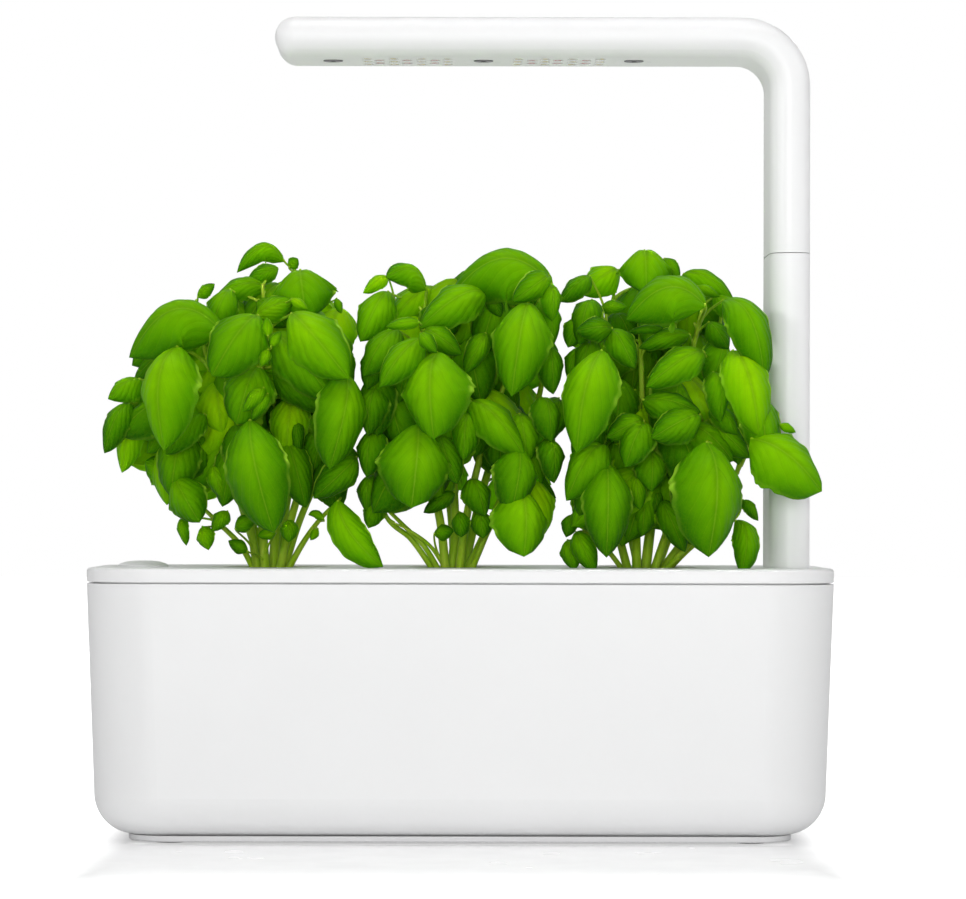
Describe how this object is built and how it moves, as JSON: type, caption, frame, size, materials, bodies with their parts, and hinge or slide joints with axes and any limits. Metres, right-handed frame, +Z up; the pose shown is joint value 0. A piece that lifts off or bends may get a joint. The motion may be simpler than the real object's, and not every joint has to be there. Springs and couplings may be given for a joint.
{
  "type": "countertop hydroponic garden",
  "caption": "Countertop hydroponic garden: water tub with lift-off lid, herb pods, float gauge, stacking arm and an overhead grow lamp.",
  "frame": {"origin": "bottom centre of the base, where the rubber feet stand", "axes": "+Z up, +X towards the lamp post, the front faces -Y"},
  "size_m": [0.305, 0.125, 0.3394],
  "materials": {
    "white_shell": "satin moulded white",
    "grey_base": "matt pale grey",
    "dark_rubber": "matt rubber",
    "steel_screw": "plain zinc",
    "black_screw": "black oxide",
    "inner_plastic": "plain moulded natural",
    "black_plastic": "matt black",
    "contact_metal": "plated brass",
    "wire_jacket": "smooth insulation",
    "float_foam": "closed foam",
    "cup_plastic": "thin natural plastic",
    "growing_medium": "fibrous peat",
    "stem": "smooth green stalk",
    "leaf": "soft satin leaf",
    "led_board": "white solder mask",
    "white_lens": "clear over pale phosphor",
    "red_lens": "clear over red die",
    "spreader_aluminium": "mill finish",
    "driver_green": "green solder mask"
  },
  "bodies": {
    "base": {"tub": "white_shell", "wiring_chamber": "inner_plastic", "inlet_bush": "white_shell", "base_plate": "grey_base", "base_screws": "steel_screw", "rubber_feet": "dark_rubber", "lamp_socket": "inner_plastic", "socket_seal": "dark_rubber", "socket_contacts": "contact_metal", "dc_inlet": "black_plastic", "inlet_pin": "contact_metal", "base_wires": "wire_jacket"},
    "lid": {"lid": "white_shell", "float_cage": "inner_plastic"},
    "float": {"float_cap": "white_shell", "float_body": "float_foam"},
    "pod_left": {"pod_cup_left": "cup_plastic", "pod_soil_left": "growing_medium", "stems_left": "stem", "foliage_left": "leaf"},
    "pod_middle": {"pod_cup_middle": "cup_plastic", "pod_soil_middle": "growing_medium", "stems_middle": "stem", "foliage_middle": "leaf"},
    "pod_right": {"pod_cup_right": "cup_plastic", "pod_soil_right": "growing_medium", "stems_right": "stem", "foliage_right": "leaf"},
    "lower_arm": {"lower_arm_shell": "white_shell", "lower_arm_plug": "inner_plastic", "lower_arm_socket": "inner_plastic", "lower_arm_contacts": "contact_metal", "lower_arm_wires": "wire_jacket"},
    "upper_arm": {"upper_arm_shell": "white_shell", "upper_arm_plug": "inner_plastic", "upper_arm_socket": "inner_plastic", "upper_arm_contacts": "contact_metal", "upper_arm_wires": "wire_jacket"},
    "lamp": {"lamp_shell": "white_shell", "lamp_cover": "white_shell", "lamp_screws": "black_screw", "led_board_left": "led_board", "led_board_right": "led_board", "white_leds": "white_lens", "red_leds": "red_lens", "heat_spreader": "spreader_aluminium", "driver_board": "driver_green", "driver_parts": "black_plastic", "lamp_plug": "inner_plastic", "lamp_contacts": "contact_metal", "lamp_wires": "wire_jacket"}
  },
  "joints": [
    {"name": "lid_lift", "type": "slide", "parent": "base", "child": "lid", "axis": [0, 0, 1], "range_m": [0, 0.02]},
    {"name": "float_travel", "type": "slide", "parent": "lid", "child": "float", "axis": [0, 0, 1], "range_m": [-0.022, 0]},
    {"name": "pod_left_lift", "type": "slide", "parent": "lid", "child": "pod_left", "axis": [0, 0, 1], "range_m": [0, 0.062]},
    {"name": "pod_middle_lift", "type": "slide", "parent": "lid", "child": "pod_middle", "axis": [0, 0, 1], "range_m": [0, 0.062]},
    {"name": "pod_right_lift", "type": "slide", "parent": "lid", "child": "pod_right", "axis": [0, 0, 1], "range_m": [0, 0.062]},
    {"name": "lower_arm_lift", "type": "slide", "parent": "base", "child": "lower_arm", "axis": [0, 0, 1], "range_m": [0, 0.02]},
    {"name": "upper_arm_lift", "type": "slide", "parent": "lower_arm", "child": "upper_arm", "axis": [0, 0, 1], "range_m": [0, 0.02]},
    {"name": "lamp_lift", "type": "slide", "parent": "upper_arm", "child": "lamp", "axis": [0, 0, 1], "range_m": [0, 0.02]}
  ]
}
